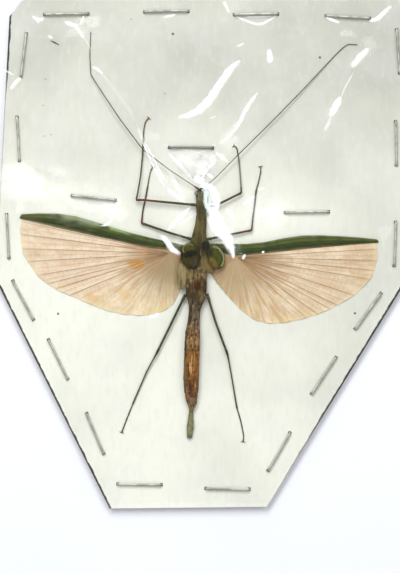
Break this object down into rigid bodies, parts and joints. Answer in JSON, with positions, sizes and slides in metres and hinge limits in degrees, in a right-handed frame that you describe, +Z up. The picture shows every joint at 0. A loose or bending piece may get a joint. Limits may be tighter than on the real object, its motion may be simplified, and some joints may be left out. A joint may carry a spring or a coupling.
{
  "type": "mounted winged stick insect specimen",
  "caption": "Dried winged stick insect with spread hind wings, laid on a cut card under clear film that wire staples hold down.",
  "frame": {"origin": "on the table under the middle of the card, at the level of the lowest staple legs", "axes": "+X to the insect's right, +Y the way its head points, +Z up from the card"},
  "size_m": [0.0762, 0.0938, 0.0044],
  "materials": {
    "card": "matt off-white pulp board",
    "film": "clear crinkled film",
    "wire": "dull zinc-coated wire",
    "trunk": "dried olive-brown chitin",
    "abdomen": "dried orange-brown chitin",
    "eye": "dull grey, softly shining",
    "limb": "dark brown chitin",
    "forewing": "leathery dark green",
    "wing_edge": "leathery green",
    "wing_fan": "thin peach membrane with brown veins"
  },
  "bodies": {
    "root": {"abdomen_front": "abdomen", "abdomen_middle": "abdomen", "abdomen_tip": "abdomen", "antenna_left_base": "limb", "antenna_left_tip": "limb", "antenna_right_base": "limb", "antenna_right_tip": "limb", "card": "card", "eye_left": "eye", "eye_right": "eye", "film": "film", "forewing_left": "forewing", "forewing_right": "forewing", "head": "trunk", "hindwing_edge_left": "wing_edge", "hindwing_edge_right": "wing_edge", "hindwing_fan_left": "wing_fan", "hindwing_fan_right": "wing_fan", "leg_front_left_femur": "limb", "leg_front_left_tarsus": "limb", "leg_front_left_tibia": "limb", "leg_front_right_femur": "limb", "leg_front_right_tarsus": "limb", "leg_front_right_tibia": "limb", "leg_hind_left_femur": "limb", "leg_hind_left_tarsus": "limb", "leg_hind_left_tibia": "limb", "leg_hind_right_femur": "limb", "leg_hind_right_tarsus": "limb", "leg_hind_right_tibia": "limb", "leg_middle_left_femur": "limb", "leg_middle_left_tarsus": "limb", "leg_middle_left_tibia": "limb", "leg_middle_right_femur": "limb", "leg_middle_right_tarsus": "limb", "leg_middle_right_tibia": "limb", "mesothorax": "trunk", "metathorax": "trunk", "prothorax": "trunk", "staple_01": "wire", "staple_02": "wire", "staple_03": "wire", "staple_04": "wire", "staple_05": "wire", "staple_06": "wire", "staple_07": "wire", "staple_08": "wire", "staple_09": "wire", "staple_10": "wire", "staple_11": "wire", "staple_12": "wire", "staple_13": "wire", "staple_14": "wire", "staple_15": "wire", "staple_16": "wire", "staple_17": "wire", "staple_18": "wire", "staple_19": "wire", "staple_20": "wire", "staple_21": "wire"}
  },
  "joints": []
}
